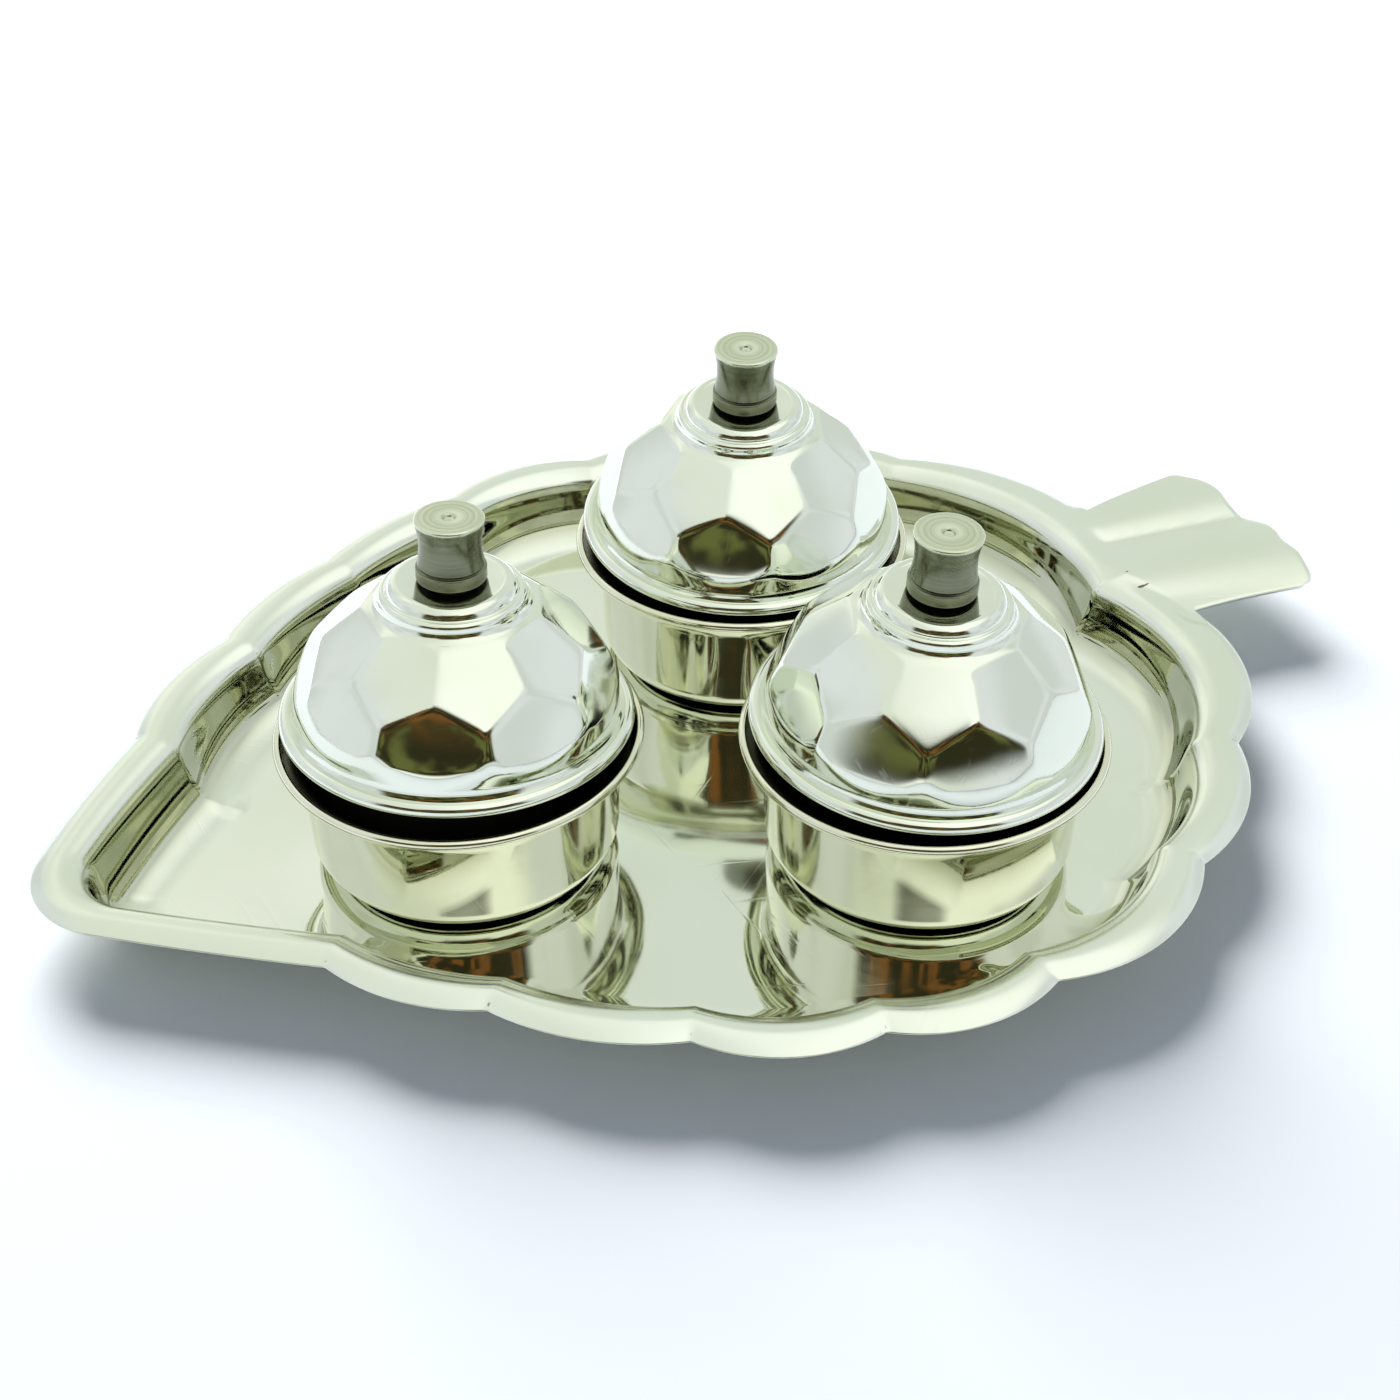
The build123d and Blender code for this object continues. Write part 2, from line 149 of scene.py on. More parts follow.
# Lamp: place and size in metres, power in watts
LAMP_PLACE, LAMP_SIZE, LAMP_POWER = (0.17, 1.82, 1.54), 1.6, 86.0


def settings():
    return bpy.context.scene.leaf_holder


def length(name, description, default):
    return FloatProperty(name=name, description=description, default=default, unit="LENGTH", min=0.0)


def colour(name, thing, default):
    return FloatVectorProperty(name=name, description="Colour of " + thing, default=default,
                               subtype="COLOR", size=3, min=0.0, max=1.0)


class TraySizes(bpy.types.PropertyGroup):
    sheet: length("Sheet", "Thickness of the pressed sheet", 0.0007)
    crease_height: length("Crease height", "Height of the creases pressed into the floor", 0.0004)
    crease_width: length("Crease width", "Width of the creases on the floor", 0.0070)
    pad_radius: length("Pad radius", "Radius of the flat top of the pad under a cup", 0.014)
    pad_slope: length("Pad slope", "Width of the slope round a pad", 0.002)
    pad_rise: length("Pad rise", "Height of a pad above the floor", 0.0008)
    step: length("Mesh step", "Distance between mesh points along the rim", 0.0008)


class CupSizes(bpy.types.PropertyGroup):
    wall: length("Wall", "Sheet thickness of the cup", 0.0006)
    height: length("Height", "Height of the cup", 0.0202)
    lip_radius: length("Mouth radius", "Outer radius of the rolled hem", 0.027)
    hem_radius: length("Hem radius", "Radius of the rolled hem's section", 0.00075)
    body_radius: length("Body radius", "Outer radius of the wall under the flare", 0.0233)
    foot_radius: length("Foot radius", "Radius of the flat foot", 0.0195)
    foot_corner: length("Foot corner", "Radius of the corner between foot and wall", 0.0034)
    flare_start: length("Flare start", "Height at which the mouth starts to flare", 0.015)


class LidSizes(bpy.types.PropertyGroup):
    wall: length("Wall", "Sheet thickness of the lid", 0.0006)
    rest_gap: length("Rest gap", "Gap between the low side of the bead and the lip", 0.0003)
    seat_gap: length("Seat gap", "Gap between the skirt and the wall of the cup", 0.0008)
    bead_radius: length("Bead radius", "Radius of the rolled bead's section", 0.0011)
    bead_edge: length("Bead edge", "Outer radius of the bead", 0.0257)
    dome_radius: length("Dome radius", "Outer radius of the dome at its foot", 0.02345)
    flats: IntProperty(name="Flats", description="Number of flats in each ring", default=9, min=3)
    softness: FloatProperty(name="Edge sharpness", description="How crisp the edges between the flats are",
                            default=170.0, min=20.0)
    bulge: FloatProperty(name="Bulge", description="Slight crown of the pressed flats", default=0.10, min=0.0)


class KnobSizes(bpy.types.PropertyGroup):
    radius: length("Radius", "Radius of the knob's top", 0.00495)
    top: length("Top", "Height of the knob's top above the bead", 0.0319)
    neck_radius: length("Neck radius", "Radius of the neck under the knob", 0.0034)


class SteelFinish(bpy.types.PropertyGroup):
    tray_colour: colour("Tray steel", "the polished tray", (0.82, 0.86, 0.775))
    cup_colour: colour("Cup steel", "the spun cups", (0.81, 0.81, 0.66))
    lid_colour: colour("Lid steel", "the polished lids", (0.82, 0.86, 0.77))
    knob_colour: colour("Knob steel", "the turned knobs", (0.84, 0.90, 0.74))
    fastener_colour: colour("Fastener steel", "rivets, screws and washers", (0.62, 0.62, 0.60))
    # Painted shade: colour that darkens the narrow gaps under the lids' beads and round the knobs' necks
    gap_shade_colour: colour("Painted gap shade", "the dark film in the narrow gaps", (0.05, 0.048, 0.04))


class StageLook(bpy.types.PropertyGroup):
    floor_colour: colour("Floor", "the floor", (0.88, 0.91, 0.94))
    room_colour: colour("Tent", "the tent behind the object", (0.78, 0.83, 0.76))
    side_colour: colour("Tent sides", "the tent to the left and right", (0.84, 0.87, 0.92))
    dark_colour: colour("Opening", "the dark opening on the viewer's side", (0.03, 0.028, 0.012))
    warm_colour: colour("Warm things", "brown things seen through the opening", (0.20, 0.09, 0.025))
    shade_colour: colour("Viewer", "the dark shape behind the camera", (0.05, 0.055, 0.025))
    green_colour: colour("Green things", "olive things seen through the opening", (0.14, 0.15, 0.045))
    fold_colour: colour("Folds", "the slow folds of the tent", (0.60, 0.64, 0.60))
    window_colour: colour("Window at the left", "the window at its left end", (0.86, 0.90, 0.83))
    band_colour: colour("Band", "the darker streaks half way up the tent", (0.20, 0.22, 0.11))
    fill_colour: colour("Fill", "the tent's light in the shadows", (0.22, 0.25, 0.29))


class HolderSettings(bpy.types.PropertyGroup):
    tray: PointerProperty(type=TraySizes)
    cup: PointerProperty(type=CupSizes)
    lid: PointerProperty(type=LidSizes)
    knob: PointerProperty(type=KnobSizes)
    finish: PointerProperty(type=SteelFinish)
    stage: PointerProperty(type=StageLook)


# Small tools for meshes

def centre_of(node):
    """Middle of a frame node in plan and its lowest point, in metres."""
    low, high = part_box(node)
    return (low[0] + high[0]) / 2, (low[1] + high[1]) / 2, low[2]


def line_to(bm, last, x, z):
    """Draw a straight edge from the last point of a profile."""
    new = bmesh.ops.extrude_vert_indiv(bm, verts=[last])["verts"][0]
    new.co = (x, 0.0, z)
    return new


def arc_to(bm, last, middle, end, finest=0.0004):
    """Spin the last point of a profile round the circle through middle to end."""
    ax, az = last.co.x, last.co.z
    (bx, bz), (cx, cz) = middle, end
    d = 2 * (ax * (bz - cz) + bx * (cz - az) + cx * (az - bz))
    sa, sb, sc = ax * ax + az * az, bx * bx + bz * bz, cx * cx + cz * cz
    ox = (sa * (bz - cz) + sb * (cz - az) + sc * (az - bz)) / d
    oz = (sa * (cx - bx) + sb * (ax - cx) + sc * (bx - ax)) / d
    first = atan2(az - oz, ax - ox)
    half = (atan2(bz - oz, bx - ox) - first) % (2 * pi)
    sweep = (atan2(cz - oz, cx - ox) - first) % (2 * pi)
    if half > sweep:
        sweep -= 2 * pi
    radius = hypot(ax - ox, az - oz)
    steps = max(2, ceil(abs(sweep) / ARC_TURN), ceil(abs(sweep) * radius / finest))
    swept = bmesh.ops.spin(bm, geom=[last], cent=(ox, 0, oz), axis=(0, -1, 0), angle=sweep, steps=steps)
    return [item for item in swept["geom_last"] if isinstance(item, bmesh.types.BMVert)][0]


def draw(bm, start, runs, finest=0.0004):
    """Profile in the XZ plane: a run is one point for a line, two for an arc."""
    first = last = bm.verts.new((start[0], 0.0, start[1]))
    for run in runs:
        if len(run) == 1:
            last = line_to(bm, last, *run[0])
        else:
            last = arc_to(bm, last, run[0], run[1], finest)
    return first, last


def turn_solid(bm, steps):
    """Spin the whole profile once round the Z axis and close it."""
    bmesh.ops.spin(bm, geom=bm.verts[:] + bm.edges[:], cent=(0, 0, 0), axis=(0, 0, 1),
                   angle=2 * pi, steps=steps, use_merge=True)
    bmesh.ops.remove_doubles(bm, verts=bm.verts[:], dist=MERGE)
    bmesh.ops.recalc_face_normals(bm, faces=bm.faces[:])


def keep_lathe(bm):
    """Note distance from the axis and height of each point before the piece is placed."""
    marks = bm.verts.layers.float_vector.new("lathe")
    for vert in bm.verts:
        vert[marks] = (hypot(vert.co.x, vert.co.y), 0.0, vert.co.z)


def put(target, **values):
    """Give several settings of one thing their values."""
    for name, value in values.items():
        setattr(target, name, value)


def add_object(name, data):
    new = bpy.data.objects.new(name, data)
    bpy.context.scene.collection.objects.link(new)
    return new


def mesh_object(bm, name, material):
    """Turn a bmesh into an object with one material."""
    mesh = bpy.data.meshes.new(name)
    bm.to_mesh(mesh)
    bm.free()
    mesh.materials.append(material)
    return add_object(name, mesh)


def finish_piece(bm, name, body, replaced, material, sharp=35.0):
    """Turn a bmesh into an object that rides on a body and stands for its frame node."""
    piece = mesh_object(bm, name, material)
    piece.data.shade_smooth()
    piece.data.set_sharp_from_angle(angle=radians(sharp))
    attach(piece, body)
    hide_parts(replaced)
    return piece


# Tray

def lobe(index):
    """Ends of one lobe of the rim, its outward direction and its rise."""
    x0, y0, rise, _ = RIM[index % len(RIM)]
    x1, y1 = RIM[(index + 1) % len(RIM)][:2]
    span = hypot(x1 - x0, y1 - y0)
    return (x0, y0), (x1, y1), ((y1 - y0) / span, (x0 - x1) / span), rise


def outward(index):
    before, after = lobe(index - 1)[2], lobe(index)[2]
    nx, ny = before[0] + after[0], before[1] + after[1]
    size = hypot(nx, ny)
    return nx / size, ny / size


def notch_at(index, inset):
    x, y = RIM[index % len(RIM)][:2]
    nx, ny = outward(index)
    return x - inset * nx, y - inset * ny


def leaf_point(index, t, inset):
    """Point at the share t of one lobe, with the outline moved inward by inset."""
    (ax, ay), (bx, by) = notch_at(index, inset), notch_at(index + 1, inset)
    nx, ny = lobe(index)[2]
    rise = lobe(index)[3] * (1 - LOBE_FADE * inset)
    half = hypot(bx - ax, by - ay) / 2
    radius = (half * half + rise * rise) / (2 * rise)
    sweep = 2 * atan2(half, radius - rise)
    angle = sweep * (t - 0.5)
    along, up = radius * sin(angle), radius * cos(angle) - (radius - rise)
    ux, uy = (bx - ax) / (2 * half), (by - ay) / (2 * half)
    return (ax + bx) / 2 + ux * along + nx * up, (ay + by) / 2 + uy * along + ny * up


def on_line(a, b, share):
    """Point at a share of the way from a to b."""
    return a[0] + (b[0] - a[0]) * share, a[1] + (b[1] - a[1]) * share


def leaf_mark(vert, marks):
    """Lobe in which a point of the tray was drawn, and its share along that lobe."""
    return int(vert[marks[0]]), vert[marks[1]]


def clamp(value):
    return min(1.0, max(0.0, value))


def smooth(value):
    value = clamp(value)
    return value * value * (3 - 2 * value)


def flute_height(x, y):
    """Height of the stem's upper side in mm: round humps that meet in sharp valleys."""
    along = clamp((x - STEM_ROOT) / (STEM_TIP - STEM_ROOT))
    folds = [on_line(a, b, along) for a, b in zip(ROOT_FOLDS, END_FOLDS)]
    for (y0, z0), (y1, z1) in zip(folds, folds[1:5]):
        if y >= y1:
            share = clamp((y0 - y) / (y0 - y1))
            if z1 > z0:
                return z0 + (z1 - z0) * sin(pi / 2 * share)
            return z1 + (z0 - z1) * sin(pi / 2 * (1 - share))
    (y0, z0), (y1, z1) = folds[4:]
    return z0 + (z1 - z0) * min(1.0, (y0 - y) / (y0 - y1))


def crease_lift(index, x, y):
    """Height of the creases beside one lobe at a point of the floor, in mm."""
    tray = settings().tray
    wide, high, lift = tray.crease_width / MM / 2, tray.crease_height / MM, 0.0
    for number in (index, index + 1):
        reach = RIM[number % len(RIM)][3]
        if not reach:
            continue
        nx, ny = outward(number)
        sx, sy = notch_at(number, CREASE_START)
        along = -(x - sx) * nx - (y - sy) * ny
        away = hypot((x - sx) * ny - (y - sy) * nx, max(0.0, along - reach, -CREASE_LEAD - along))
        if away < wide:
            lift = max(lift, high * (0.5 + 0.5 * cos(pi * away / wide)))
    return lift


def stem_share(index, t):
    """Where a point of the outer edge lies across the stem: 0 rear to 1 front, or None."""
    if index not in (0, len(RIM) - 1):
        return None
    y = leaf_point(index, t, 0.0)[1]
    share = (STEM_REAR[0][1] - y) / (STEM_REAR[0][1] - STEM_FRONT[0][1])
    return share if -0.001 <= share <= 1.001 else None


def rim_height(x, y, inset, height):
    """The rim flows up into the flutes of the stem near the stem's root."""
    full, none = FLOW_INSETS
    if x < FLOW_START or inset > none:
        return height
    near = smooth((y - FLOW_SIDES[0]) / FLOW_SOFT) * smooth((FLOW_SIDES[1] - y) / FLOW_SOFT)
    return height + (flute_height(x, y) - height) * near * smooth((none - inset) / (none - full))


def place_ring(verts, marks, inset, height):
    floor = settings().tray.sheet / MM
    for vert in verts:
        index, t = leaf_mark(vert, marks)
        x, y = leaf_point(index, t, inset)
        lift = rim_height(x, y, inset, height)
        if inset > CREASE_INSET:
            lift = floor + (max(0.0, lift - floor) ** 3 + crease_lift(index, x, y) ** 3) ** (1 / 3)
        vert.co = (x * MM, y * MM, lift * MM)
        # Mask of the painted shade in the crimp at the nearest notch
        if inset < CRIMP_INSET:
            nx, ny = notch_at(index if t < 0.5 else index + 1, CRIMP_MIDDLE)
            vert[marks[2]] = exp(-((x - nx) ** 2 + (y - ny) ** 2) / CRIMP_SPREAD)


def outline(bm, marks, step):
    """Leaf outline: one point swept from notch to notch along every lobe."""
    first = last = bm.verts.new((*(MM * value for value in notch_at(0, 0.0)), 0.0105))
    first[marks[0]], first[marks[1]] = 0, 0.0
    for index in range(len(RIM)):
        (ax, ay), (bx, by) = lobe(index)[:2]
        steps = max(8, round(hypot(bx - ax, by - ay) * MM / step))
        for count in range(1, steps + 1):
            if index == len(RIM) - 1 and count == steps:
                bm.edges.new((last, first))
                return
            new = bmesh.ops.extrude_vert_indiv(bm, verts=[last])["verts"][0]
            t = count / steps
            new[marks[0]] = index if t < 1 else index + 1
            new[marks[1]] = t if t < 1 else 0.0
            last = new


def next_ring(bm, edges):
    """Extrude the open ring of edges and return the new points and edges."""
    grown = bmesh.ops.extrude_edge_only(bm, edges=edges)["geom"]
    verts = [item for item in grown if isinstance(item, bmesh.types.BMVert)]
    rim = set(verts)
    new = [item for item in grown if isinstance(item, bmesh.types.BMEdge)
           and item.verts[0] in rim and item.verts[1] in rim]
    return verts, new


def floor_target(index):
    """Inner end of the floor strip that follows the crease from one notch."""
    reach = RIM[index % len(RIM)][3]
    return notch_at(index, CREASE_START + reach + PAST_CREASE if reach else WELL_INSET + PAST_WELL)


def curve_point(points, share):
    """Point at a share of a row of points."""
    place = min(0.9999, max(0.0, share)) * (len(points) - 1)
    near = int(place)
    return on_line(points[near], points[near + 1], place - near)


def even(points, count=60):
    """The same row of points at even distances along its length."""
    spans = [hypot(b[0] - a[0], b[1] - a[1]) for a, b in zip(points, points[1:])]
    total, rows = sum(spans), []
    for number in range(count + 1):
        want, place = total * number / count, 0
        while place < len(spans) - 1 and want > spans[place]:
            want -= spans[place]
            place += 1
        rows.append(on_line(points[place], points[place + 1], min(1.0, want / spans[place])))
    return rows


def bezier_row(points, count=24):
    return [(p.x, p.y) for p in interpolate_bezier(*(Vector(p) for p in points), count)]


def grow_stem(bm, marks, edges, rows=30):
    """Extrude the rim outward between the scallops beside the stem."""
    chosen = [edge for edge in edges
              if all(stem_share(*leaf_mark(v, marks)) is not None for v in edge.verts)]
    end = even(STEM_END)
    rear, front = bezier_row(STEM_REAR), bezier_row(STEM_FRONT)
    corners = rear[0], front[0], end[0], end[-1]
    for row in range(1, rows + 1):
        s = row / rows
        verts, chosen = next_ring(bm, chosen)
        for vert in verts:
            index, t = leaf_mark(vert, marks)
            q = clamp(stem_share(index, t))
            root, tip = leaf_point(index, t, 0.0), curve_point(end, q)
            left, right = curve_point(rear, s), curve_point(front, s)
            place = []
            for axis in (0, 1):
                along = (1 - s) * root[axis] + s * tip[axis]
                across = (1 - q) * left[axis] + q * right[axis]
                twice = ((1 - s) * ((1 - q) * corners[0][axis] + q * corners[1][axis])
                         + s * ((1 - q) * corners[2][axis] + q * corners[3][axis]))
                place.append(along + across - twice)
            x, y = place
            vert.co = (x * MM, y * MM, flute_height(x, y) * MM)
            vert[marks[2]] = 0.0


def close_floor(bm, edges, tray):
    """Fill the flat middle of the floor round the three raised pads with rivet holes."""
    floor, slope_end = tray.sheet, tray.pad_radius + tray.pad_slope
    loops, discs = list(edges), []
    for place in PLACES:
        x, y, _ = centre_of(f"cup_{place}")
        ring = bmesh.ops.create_circle(bm, segments=PAD_POINTS, radius=slope_end)["verts"]
        bmesh.ops.translate(bm, verts=ring, vec=(x, y, floor))
        rim = list({edge for vert in ring for edge in vert.link_edges})
        loops += rim
        discs.append((x, y, rim))
    bmesh.ops.triangle_fill(bm, use_beauty=True, edges=loops)
    for x, y, rim in discs:
        for radius, height in ((slope_end - 0.0004, 0.06), (tray.pad_radius + 0.0002, 0.94),
                               (tray.pad_radius - 0.0003, 1.0), (RIVET_HOLE, 1.0)):
            verts, rim = next_ring(bm, rim)
            for vert in verts:
                out = Vector((vert.co.x - x, vert.co.y - y, 0.0)).normalized() * radius
                vert.co = (x + out.x, y + out.y, floor + tray.pad_rise * height)


class HOLDER_OT_tray(bpy.types.Operator):
    """Press the leaf tray: scalloped rim, well with creases, raised pads and fluted stem"""
    bl_idname = "holder.make_tray"
    bl_label = "Leaf tray"

    def execute(self, context):
        tray = settings().tray
        bm = bmesh.new()
        layers = bm.verts.layers
        marks = (layers.int.new("lobe"), layers.float.new("share"), layers.float.new("crimp"))
        outline(bm, marks, tray.step)
        edge_ring = ring = bm.edges[:]
        place_ring(bm.verts, marks, 0.0, RIM_RUNS[0][0][0][1])
        for run, count in RIM_RUNS:
            points = interpolate_bezier(*(Vector(p) for p in run), count + 1)
            for inset, height in [(p.x, p.y) for p in points][1:]:
                verts, ring = next_ring(bm, ring)
                place_ring(verts, marks, inset, height)
        targets = [floor_target(index) for index in range(len(RIM) + 1)]
        for row in range(1, FLOOR_ROWS + 1):
            verts, ring = next_ring(bm, ring)
            for vert in verts:
                index, t = leaf_mark(vert, marks)
                inner = on_line(targets[index], targets[index + 1], t)
                x, y = on_line(leaf_point(index, t, WELL_INSET), inner, row / FLOOR_ROWS)
                vert.co = (x * MM, y * MM, tray.sheet + crease_lift(index, x, y) * MM)
        close_floor(bm, ring, tray)
        grow_stem(bm, marks, edge_ring)
        bmesh.ops.remove_doubles(bm, verts=bm.verts[:], dist=2 * MERGE)
        bmesh.ops.recalc_face_normals(bm, faces=bm.faces[:])
        if sum(face.normal.z * face.calc_area() for face in bm.faces) < 0:
            bmesh.ops.reverse_faces(bm, faces=bm.faces[:])
        material = steel("tray_steel_polished", settings().finish.tray_colour, tray_marks,
                         gloss=0.035, haze=0.05, cloud=30.0, fineness=700.0, rubbing=0.6)
        piece = finish_piece(bm, "leaf_tray", "base", "tray", material, 180.0)
        put(piece.modifiers.new("Sheet", "SOLIDIFY"), thickness=tray.sheet, offset=-1.0,
            use_even_offset=True, use_quality_normals=True)
        put(piece.modifiers.new("Edge", "BEVEL"), width=0.00012, segments=2, limit_method="ANGLE",
            angle_limit=radians(55), harden_normals=False)
        return {"FINISHED"}


# Cups, lids and knobs

class HOLDER_OT_cups(bpy.types.Operator):
    """Spin the three cups with rounded foot, straight wall, flared mouth and rolled hem"""
    bl_idname = "holder.make_cups"
    bl_label = "Cups"

    def execute(self, context):
        cup = settings().cup
        material = steel("cup_steel_spun", settings().finish.cup_colour, cup_marks,
                         gloss=0.035, haze=0.06, cloud=70.0, fineness=900.0, rubbing=0.4)
        for place in PLACES:
            x, y, z = centre_of(f"cup_{place}")
            bm = bmesh.new()
            wall, body = cup.wall, cup.body_radius
            foot_wall = body - CUP_DRAFT
            hem_x, hem_z = cup.lip_radius - cup.hem_radius, cup.height - cup.hem_radius
            turn = cup.foot_corner * cos(radians(45))
            bend = (cup.foot_corner - wall) * cos(radians(45))
            first, last = draw(bm, (RIVET_HOLE, 0.0), (
                ((cup.foot_radius, 0.0),),
                ((cup.foot_radius + turn, cup.foot_corner - turn), (foot_wall, cup.foot_corner)),
                ((body, cup.flare_start),),
                (FLARE_OUTSIDE, (hem_x - 0.0002, hem_z - 0.0007)),
                ((hem_x + cup.hem_radius, hem_z), (hem_x - 0.0005, hem_z + 0.00056)),
                (FLARE_INSIDE, (body - wall, cup.flare_start)),
                ((foot_wall - wall, cup.foot_corner),),
                ((cup.foot_radius + bend, cup.foot_corner - bend), (cup.foot_radius, wall)),
                ((RIVET_HOLE, wall),),
            ))
            bm.edges.new((last, first))
            turn_solid(bm, CUP_STEPS)
            keep_lathe(bm)
            bmesh.ops.translate(bm, verts=bm.verts[:], vec=(x, y, z))
            finish_piece(bm, f"spun_cup_{place}", "base", f"cup_{place}", material)
        return {"FINISHED"}


def press_flats(bm, layer, lid):
    """Press two rings of flats into the dome, each point moved along its ray from the axis."""
    middle = Vector((0.0, 0.0, FLAT_CENTRE))
    planes = []
    for turned, radius, height, tilt in FLAT_RINGS:
        for step in range(lid.flats):
            turn = 2 * pi / lid.flats * (step + turned)
            nr, nz = cos(radians(tilt)), sin(radians(tilt))
            normal = Vector((nr * cos(turn), nr * sin(turn), nz))
            centre = Vector((radius * cos(turn), radius * sin(turn), height)) - middle
            planes.append((normal, centre, normal.dot(centre)))
    sharp = lid.softness
    for vert in bm.verts:
        depth = vert[layer]
        if not depth:
            continue
        ray = vert.co - middle
        size = ray.length
        ray.normalize()
        total = 1.0
        for normal, centre, reach in planes:
            facing = ray.dot(normal)
            if facing > 0.3:
                near = reach - (lid.wall if depth == 2 else 0.0)
                away = (ray * (reach / facing) - centre).length_squared / reach ** 2
                near *= 1 - lid.bulge * min(away, 0.16)
                total += (size * facing / near) ** sharp
        vert.co = middle + ray * size * total ** (-1.0 / sharp)


def seat(place):
    """Where one loose lid sits, with the low side of its bead just above the lip of the cup."""
    lid, cup = settings().lid, settings().cup
    x, y, z = centre_of(f"cup_{place}")
    lean, heading = (radians(value) for value in LID_LEANS[place])
    z += cup.height + lid.rest_gap + lid.bead_radius + (lid.bead_edge - lid.bead_radius) * sin(lean)
    return (Matrix.Translation((x, y, z)) @ Matrix.Rotation(heading, 4, "Z") @ Matrix.Rotation(lean, 4, "Y")
            @ Matrix.Rotation(radians(LID_TURNS[place]) - heading, 4, "Z"))


def mark_from(bm, layer, first, value):
    """Mark the points drawn since a count of points and return the new count."""
    bm.verts.ensure_lookup_table()
    for vert in bm.verts[first:]:
        vert[layer] = value
    return len(bm.verts)


def lid_shape(lid, skirt):
    """One lid round the Z axis, with the middle of its bead at the origin."""
    wall, dome, foot = lid.wall, lid.dome_radius, SKIRT_FOOT
    bm = bmesh.new()
    layer = bm.verts.layers.int.new("dome")
    first, last = draw(bm, BOSS_START, BOSS_RUNS, 0.0002)
    count = len(bm.verts)
    last = arc_to(bm, last, DOME_SHOULDER, (dome, DOME_END), 0.00038)
    for z in (0.0038, DOME_FOOT):
        last = line_to(bm, last, dome, z)
    count = mark_from(bm, layer, count - 1, 1)
    last = arc_to(bm, last, (dome + 0.0001, 0.0017), (dome + 0.0005, 0.00088), 0.0002)
    last = arc_to(bm, last, (lid.bead_edge, 0.0), (0.0241, -0.00098), 0.0003)
    last = arc_to(bm, last, (0.02265, -0.00135), (skirt, -0.0023), 0.0003)
    for x, z in ((skirt, foot), (skirt - wall, foot), (skirt - wall, -0.002)):
        last = line_to(bm, last, x, z)
    last = arc_to(bm, last, (0.02205, -0.00085), (dome - wall, -0.0004), 0.0003)
    for z in (0.0012, DOME_FOOT):
        last = line_to(bm, last, dome - wall, z)
    count = mark_from(bm, layer, count, 0)
    last[layer] = 2
    last = line_to(bm, last, dome - wall, DOME_END)
    inner_shoulder = (DOME_SHOULDER[0] - 0.64 * wall, DOME_SHOULDER[1] - 0.77 * wall)
    last = arc_to(bm, last, inner_shoulder, (0.0108, 0.0185 - wall), 0.0008)
    mark_from(bm, layer, count, 2)
    for x, z in BOSS_HOLLOW:
        last = line_to(bm, last, x, z)
        last[layer] = 0
    bm.edges.new((last, first))
    turn_solid(bm, LID_STEPS)
    press_flats(bm, layer, lid)
    keep_lathe(bm)
    return bm


class HOLDER_OT_lids(bpy.types.Operator):
    """Form the three lids: faceted dome, stepped boss, rolled bead and inner skirt"""
    bl_idname = "holder.make_lids"
    bl_label = "Lids"

    def execute(self, context):
        lid, cup = settings().lid, settings().cup
        material = steel("lid_steel_polished", settings().finish.lid_colour, lid_marks,
                         gloss=0.05, haze=0.06, cloud=60.0, fineness=1000.0, rubbing=0.45)
        shape = lid_shape(lid, cup.body_radius - cup.wall - lid.seat_gap)
        for place in PLACES:
            bm = shape.copy()
            bmesh.ops.transform(bm, matrix=seat(place), verts=bm.verts[:])
            finish_piece(bm, f"faceted_lid_{place}", f"lid_{place}_body", f"lid_{place}",
                         material)
        shape.free()
        return {"FINISHED"}


class HOLDER_OT_knobs(bpy.types.Operator):
    """Turn the three knobs: neck, base ring, groove, waist and centre mark"""
    bl_idname = "holder.make_knobs"
    bl_label = "Knobs"

    def execute(self, context):
        knob = settings().knob
        material = steel("knob_steel_turned", settings().finish.knob_colour, knob_marks,
                         gloss=0.17, haze=0.10, cloud=260.0, fineness=1600.0, rubbing=0.5)
        foot, base, top, edge = KNOB_FOOT, KNOB_BASE, knob.top, KNOB_EDGE
        for place in PLACES:
            bm = bmesh.new()
            draw(bm, (0.0, foot + SCREW_DEPTH), (
                ((SCREW_HOLE, foot + SCREW_DEPTH),), ((SCREW_HOLE, foot),), ((knob.neck_radius, foot),),
                ((knob.neck_radius, base),), ((0.0047, base),),
                ((0.00492, base + 0.00008), (0.0050, base + 0.0003)),
                ((0.0050, base + 0.0016),),
                ((0.00495, base + 0.00182), (0.00478, base + 0.0019)),
                ((0.00462, base + 0.00200),), ((0.00462, base + 0.00222),), ((0.00474, base + 0.0024),),
                ((0.00442, base + 0.0047), (knob.radius, top - edge)),
                ((knob.radius - 0.293 * edge, top - 0.293 * edge), (knob.radius - edge, top)),
                ((0.0012, top),), ((0.0009, top - 0.00012), (0.0007, top - 0.0004)),
                ((0.0, top - 0.0005),),
            ), 0.0003)
            turn_solid(bm, KNOB_STEPS)
            keep_lathe(bm)
            bmesh.ops.transform(bm, matrix=seat(place), verts=bm.verts[:])
            finish_piece(bm, f"turned_knob_{place}", f"lid_{place}_body", f"knob_{place}",
                         material)
        return {"FINISHED"}


class HOLDER_OT_fasteners(bpy.types.Operator):
    """Give the rivets, screws and washers their bright steel"""
    bl_idname = "holder.finish_fasteners"
    bl_label = "Rivets, screws and washers"

    def execute(self, context):
        material = steel("fastener_steel_bright", settings().finish.fastener_colour, fastener_marks,
                         gloss=0.22, haze=0.15, cloud=500.0, fineness=1800.0, rubbing=0.5)
        for kind in ("cup_rivet", "knob_screw", "knob_washer"):
            for place in PLACES:
                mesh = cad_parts[f"{kind}_{place}"].data
                mesh.materials.clear()
                mesh.materials.append(material)
        return {"FINISHED"}


# Steel finishes

